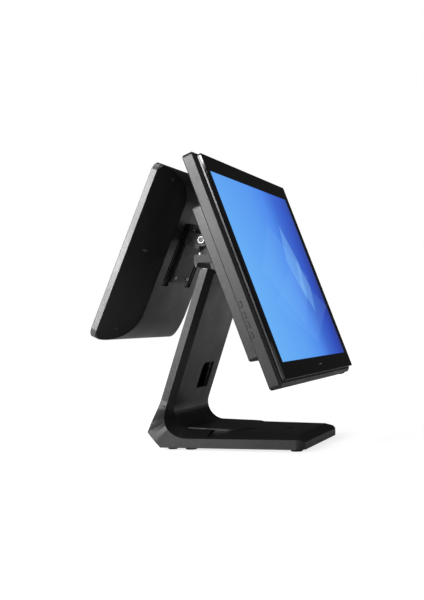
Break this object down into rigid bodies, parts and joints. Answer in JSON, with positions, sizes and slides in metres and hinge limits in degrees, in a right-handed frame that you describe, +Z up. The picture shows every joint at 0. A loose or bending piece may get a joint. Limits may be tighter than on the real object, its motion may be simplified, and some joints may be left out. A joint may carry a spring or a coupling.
{
  "type": "pos touchscreen terminal",
  "caption": "Dual-screen point-of-sale terminal: a large touchscreen for the operator and a smaller customer display, back to back on a leaning arm with a flat foot.",
  "frame": {"origin": "centre of the bounding box's base, on the counter", "axes": "+Z up, -Y towards the operator, +Y towards the customer, X across the width"},
  "size_m": [0.3416, 0.2604, 0.3449],
  "materials": {
    "textured_black": "fine satin texture",
    "inner_plastic": "plain moulded",
    "black_rubber": "soft matte",
    "zinc_steel": "zinc plated",
    "screw_steel": "bright plated",
    "screw_black": "black oxide",
    "shaft_steel": "turned",
    "bracket_black": "black powder coat",
    "screen_glass": "gloss with a black printed border",
    "customer_glass": "gloss with a black printed border",
    "frame_grey": "smooth",
    "panel_metal": "pressed sheet",
    "light_white": "translucent",
    "circuit_green": "solder mask",
    "sink_aluminium": "extruded",
    "bezel_grey": "satin",
    "key_black": "satin"
  },
  "bodies": {
    "stand": {"stand_shell": "textured_black", "arm_rear_cover": "textured_black", "heel_cover": "textured_black", "arm_spine": "zinc_steel", "cable_grommet": "black_rubber", "base_plate": "zinc_steel", "bottom_cover": "inner_plastic", "rubber_feet": "black_rubber", "base_screws": "screw_steel", "hinge_bracket": "bracket_black", "bracket_screws": "screw_steel", "main_hinge_shaft": "shaft_steel", "main_friction_washers": "shaft_steel", "main_hinge_nuts": "shaft_steel", "customer_hinge_shaft": "screw_black", "customer_friction_washers": "shaft_steel", "customer_hinge_nuts": "shaft_steel"},
    "main_head": {"touch_glass": "screen_glass", "glass_frame": "frame_grey", "lcd_panel": "panel_metal", "status_light": "light_white", "main_housing": "textured_black", "box_cover": "textured_black", "mainboard": "circuit_green", "heat_sink": "sink_aluminium", "ssd_drive": "panel_metal", "speakers": "inner_plastic", "port_plate": "zinc_steel", "port_sockets": "inner_plastic", "main_mount_plate": "bracket_black", "main_mount_screws": "screw_steel", "box_screws": "screw_black"},
    "customer_head": {"customer_bezel": "bezel_grey", "customer_glass": "customer_glass", "customer_lcd": "panel_metal", "customer_board": "circuit_green", "customer_rear_shell": "textured_black", "channel_covers": "inner_plastic", "customer_mount_plate": "bracket_black", "customer_mount_screws": "screw_steel", "customer_shell_screws": "screw_black", "slot_inserts": "shaft_steel"},
    "power_button": {"power_button": "key_black"},
    "osd_key_1": {"osd_key_1": "key_black"},
    "osd_key_2": {"osd_key_2": "key_black"},
    "osd_key_3": {"osd_key_3": "key_black"},
    "osd_key_4": {"osd_key_4": "key_black"}
  },
  "joints": [
    {"name": "main_tilt", "type": "hinge", "parent": "stand", "child": "main_head", "pos_m": [0, -0.0105, 0.243], "axis": [-1, 0, 0], "range_deg": [-20, 18]},
    {"name": "customer_tilt", "type": "hinge", "parent": "stand", "child": "customer_head", "pos_m": [0, 0.0135, 0.2565], "axis": [1, 0, 0], "range_deg": [-12, 6]},
    {"name": "osd_key_1_press", "type": "slide", "parent": "main_head", "child": "osd_key_1", "axis": [1, 0, 0], "range_m": [0, 0.0005], "stiffness_N_per_m": 300, "springref_m": -0.0005},
    {"name": "osd_key_2_press", "type": "slide", "parent": "main_head", "child": "osd_key_2", "axis": [1, 0, 0], "range_m": [0, 0.0005], "stiffness_N_per_m": 300, "springref_m": -0.0005},
    {"name": "osd_key_3_press", "type": "slide", "parent": "main_head", "child": "osd_key_3", "axis": [1, 0, 0], "range_m": [0, 0.0005], "stiffness_N_per_m": 300, "springref_m": -0.0005},
    {"name": "osd_key_4_press", "type": "slide", "parent": "main_head", "child": "osd_key_4", "axis": [1, 0, 0], "range_m": [0, 0.0005], "stiffness_N_per_m": 300, "springref_m": -0.0005},
    {"name": "power_button_press", "type": "slide", "parent": "main_head", "child": "power_button", "axis": [0, 0.342, 0.9397], "range_m": [0, 0.0008], "stiffness_N_per_m": 400, "springref_m": -0.0008}
  ]
}
